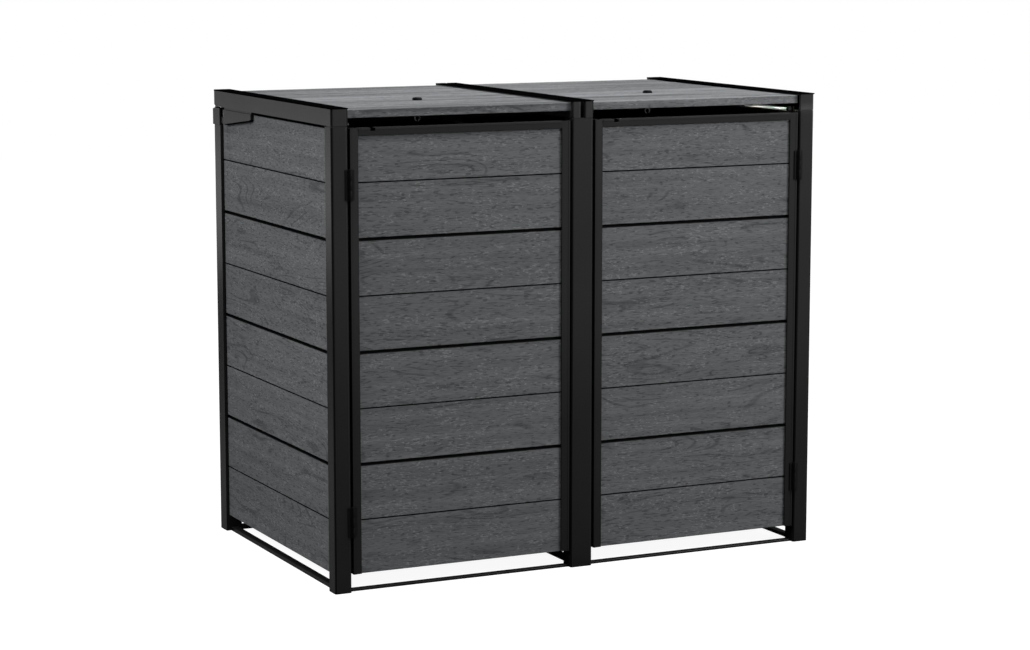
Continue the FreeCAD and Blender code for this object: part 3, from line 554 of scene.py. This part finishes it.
def shade_cap_strip(node, body):
    """A crowned strip along the top of one lid rail, closed at both ends."""
    low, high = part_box(node)
    left_edge, right_edge = low.x - strip_out, high.x + strip_out
    front_end, rear_end = low.y - strip_out, high.y + strip_out
    shape = bmesh.new()
    rings = []
    for step in range(strip_along + 1):
        y = front_end + (rear_end - front_end) * step / strip_along
        end_ease = min(1, step, strip_along - step)
        ring = []
        for part in range(strip_across + 1):
            x = left_edge + (right_edge - left_edge) * part / strip_across
            crown = 1 - (2 * part / strip_across - 1) ** 4
            ring.append(shape.verts.new((x, y, high.z + strip_high * crown * end_ease)))
        ring += [shape.verts.new((x, y, high.z - strip_skirt)) for x in (right_edge, left_edge)]
        rings.append(ring)
    strip = closed_piece(f"{node}_strip", shape, rings, matt_black)
    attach(strip, body)


for side in ("left", "right"):
    for rail in ("outer", "inner"):
        shade_cap_strip(f"{side}_lid_{rail}_rail", f"{side}_lid")

# Door catches: moulded black nylon, fixed to the top rail of each door near its left end.
# Their edges are rounded as the mould leaves them.
for side in ("left", "right"):
    eased(f"{side}_door_catch", matt_black, fitting_edge)

# Edge strips: a black strip under the sloping edge of each outer hinge arm, painted shade that the
# arm casts on the boards when the lid is down; it goes up with the lid.
arm_shade_section = [
    (0.1383, 1.1360), (0.1503, 1.1335), (0.3343, 1.1125),
    (0.3350, 1.1095), (0.1500, 1.1303), (0.1383, 1.1326),
]
arm_shade_inner, arm_shade_outer, arm_shade_ease = 0.6733, 0.6817, 0.0004


def rubber_buffer_and_shade_strip(name, section, sides, ease, body):
    """A strip of one section in Y and Z, between two planes of X, with eased edges."""
    shape = bmesh.new()
    rings = [[shape.verts.new((x, y, z)) for y, z in section] for x in sides]
    strip = closed_piece(name, shape, rings, matt_black, ease)
    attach(strip, body)


for side, sign in (("left", -1), ("right", 1)):
    sides = (sign * arm_shade_inner, sign * arm_shade_outer)
    rubber_buffer_and_shade_strip(f"{side}_arm_shade_lip", arm_shade_section, sides, arm_shade_ease, f"{side}_lid")

# Rest buffers: a strip of black rubber on the outer wall of each outer hinge block, in front of
# the pivot, which the lid rail comes down on. The rail swings up and away from it.
buffer_section = [(0.378, 1.1515), (0.412, 1.1515), (0.412, 1.1554), (0.378, 1.1554)]
buffer_inner, buffer_outer, buffer_ease = 0.6788, 0.6815, 0.0005
for side, sign in (("left", -1), ("right", 1)):
    sides = (sign * buffer_inner, sign * buffer_outer)
    rubber_buffer_and_shade_strip(f"{side}_rest_buffer", buffer_section, sides, buffer_ease, "frame")


# Bright parts: the eye nuts are zinc plated steel, slightly cloudy, and the strut rods are pale
# satin steel, pressed into a black socket at the front end.
def plated(name, colour, roughness, cloud_size):
    """Zinc plate: one bright colour, with a slightly cloudy gloss."""
    made, tree, shader, place = material(name, {"Base Color": linear(colour), "Metallic": 1.0})
    cloud = put(tree, "ShaderNodeTexNoise", {"Vector": place, "Scale": 1 / cloud_size, "Detail": 2.0})
    haze = put(tree, "ShaderNodeMapRange", {
        "Value": cloud, "To Min": roughness * 0.8, "To Max": roughness * 1.3,
    })
    tree.links.new(haze.outputs[0], shader.inputs["Roughness"])
    return made


def satin_rod(name, socket_black, rod_grey):
    """Pale satin rod: the socket, in front of socket_end, is black."""
    made, tree, shader, place = material(name, {"Specular IOR Level": 0.3})
    spot = put(tree, "ShaderNodeSeparateXYZ", {0: place})
    behind = put(tree, "ShaderNodeMath", {0: spot.outputs[1], 1: socket_end}, operation="GREATER_THAN")
    tint = put(tree, "ShaderNodeMix", {
        "Factor": behind, 6: linear(socket_black), 7: linear(rod_grey),
    }, data_type="RGBA")
    cloud = put(tree, "ShaderNodeTexNoise", {"Vector": place, "Scale": 120.0})
    haze = put(tree, "ShaderNodeMapRange", {"Value": cloud, "To Min": 0.35, "To Max": 0.5})
    tree.links.new(tint.outputs[2], shader.inputs["Base Color"])
    tree.links.new(haze.outputs[0], shader.inputs["Roughness"])
    return made


socket_end = -0.3735
zinc = plated("zinc plated steel", "#c9cccf", 0.35, 0.004)
pale_rod = satin_rod("pale satin steel", "#040404", "#d4d4d6")
for side in ("left", "right"):
    eased(f"{side}_lid_eye", zinc, fitting_edge)
    eased(f"{side}_strut_rod", pale_rod, fitting_edge)

# Setting: a pale floor and a white background, which the camera sees as white. In reflections
# only a strip in front of and behind the store is bright, as between two screens in a studio,
# and the floor round the store is dark: a painted shadow of the store.
reach = 12.0
strip_bearing = (0.43, -0.9, 0)
strip_middle = (-0.655, 1.35, 0)
floor_mesh = bpy.data.meshes.new("floor")
floor_corners = [(-reach, -reach, 0), (reach, -reach, 0), (reach, reach, 0), (-reach, reach, 0)]
floor_mesh.from_pydata(floor_corners, [], [(0, 1, 2, 3)])
floor = bpy.data.objects.new("floor", floor_mesh)
scene.collection.objects.link(floor)


def shown_white(tree, mirrored):
    """Where the white studio shows: to the camera, through glass, and in part in reflections."""
    rays = put(tree, "ShaderNodeLightPath").outputs
    glossy = put(tree, "ShaderNodeMath", {0: rays["Is Glossy Ray"], 1: mirrored}, operation="MULTIPLY")
    seen = put(tree, "ShaderNodeMath", {0: rays["Is Camera Ray"], 1: glossy}, operation="MAXIMUM")
    return put(tree, "ShaderNodeMath", {0: seen, 1: rays["Is Transmission Ray"]}, operation="MAXIMUM")


pale_floor = bpy.data.materials.new("pale floor")
pale_floor.use_nodes = True
tree = pale_floor.node_tree
tree.nodes.clear()
spot = put(tree, "ShaderNodeTexCoord").outputs["Object"]
# in reflections the floor round the store is dark, a painted shadow of the store, and only the strip beyond
# it is bright
from_strip = put(tree, "ShaderNodeVectorMath", {0: spot, 1: strip_middle}, operation="SUBTRACT")
from_strip = put(tree, "ShaderNodeVectorMath", {0: from_strip}, operation="LENGTH").outputs["Value"]
clear_of_painted_shadow = put(tree, "ShaderNodeMapRange", {"Value": from_strip, "From Min": 4.7, "From Max": 6.1})
bearing = put(tree, "ShaderNodeVectorMath", {0: spot}, operation="NORMALIZE")
ahead = put(tree, "ShaderNodeVectorMath", {0: bearing, 1: strip_bearing}, operation="DOT_PRODUCT")
strip = put(tree, "ShaderNodeMath", {0: ahead.outputs["Value"]}, operation="ABSOLUTE")
strip = put(tree, "ShaderNodeMapRange", {"Value": strip, "From Min": 0.78, "From Max": 0.95})
mirrored = put(tree, "ShaderNodeMath", {0: clear_of_painted_shadow, 1: strip}, operation="MULTIPLY")
# under the store the floor is a little greyer than the background, which it meets further off
distance = put(tree, "ShaderNodeVectorMath", {0: spot}, operation="LENGTH").outputs["Value"]
far = put(tree, "ShaderNodeMapRange", {
    "Value": distance, "From Min": 1.6, "From Max": 4.0, "To Min": 0.93, "To Max": 1.0,
})
share = put(tree, "ShaderNodeMath", {0: shown_white(tree, mirrored), 1: far}, operation="MULTIPLY")
white = put(tree, "ShaderNodeEmission", {"Color": (1, 1, 1, 1), "Strength": share})
matt = put(tree, "ShaderNodeBsdfDiffuse", {"Color": linear("#787878")})
mixed = put(tree, "ShaderNodeAddShader", {0: matt, 1: white})
put(tree, "ShaderNodeOutputMaterial", {0: mixed})
floor_mesh.materials.append(pale_floor)

# World: white to the camera, a soft even light on the store, and in reflections bright in front
# of the store and dim behind it.
studio_front = (0.42, -0.91, 0)
world = bpy.data.worlds.new("studio")
world.use_nodes = True
scene.world = world
tree = world.node_tree
tree.nodes.clear()
looking = put(tree, "ShaderNodeTexCoord").outputs["Generated"]
ahead = put(tree, "ShaderNodeVectorMath", {0: looking, 1: studio_front}, operation="DOT_PRODUCT")
# reflections fade from the bright front of the studio to its dim back
bright = put(tree, "ShaderNodeMapRange", {
    "Value": ahead.outputs["Value"], "From Min": 0.2, "From Max": 0.75, "To Min": 0.15, "To Max": 1.0,
})
soft, clear = [
    put(tree, "ShaderNodeBackground", {"Color": (1, 1, 1, 1), "Strength": level}) for level in (0.2, 1.0)
]
mixed = put(tree, "ShaderNodeMixShader", {0: shown_white(tree, bright), 1: soft, 2: clear})
put(tree, "ShaderNodeOutputWorld", {0: mixed})


# Lamps: three large softboxes, and a narrow low one that reaches in under the lids.
# Each has its place, the point it is aimed at, its size in metres, its power and its spread.
def softbox(name, place, target, size, power, spread=180, mirrored=True):
    """One rectangular lamp, not seen by the camera, and seen in reflections only where mirrored."""
    data = bpy.data.lights.new(name, "AREA")
    data.shape = "RECTANGLE"
    data.size, data.size_y = size
    data.energy = power
    data.spread = math.radians(spread)
    lamp = bpy.data.objects.new(name, data)
    lamp.location = place
    lamp.rotation_euler = (Vector(target) - Vector(place)).to_track_quat("-Z", "Y").to_euler()
    lamp.visible_camera = False
    lamp.visible_glossy = mirrored
    scene.collection.objects.link(lamp)


softbox("overhead", (0, -0.4, 3.2), (0, -0.4, 0), (4.0, 2.6), 140)
softbox("front", (2.9, -3.1, 2.4), (0.4, 0, 0.6), (2.0, 1.4), 140)
softbox("left", (-3.6, -0.6, 2.6), (0, 0, 0.7), (1.6, 1.4), 103, mirrored=False)
softbox("under the lids", (-0.75, -1.55, 1.161), (0.55, -0.3, 1.161), (0.5, 0.008), 0.12, 1)
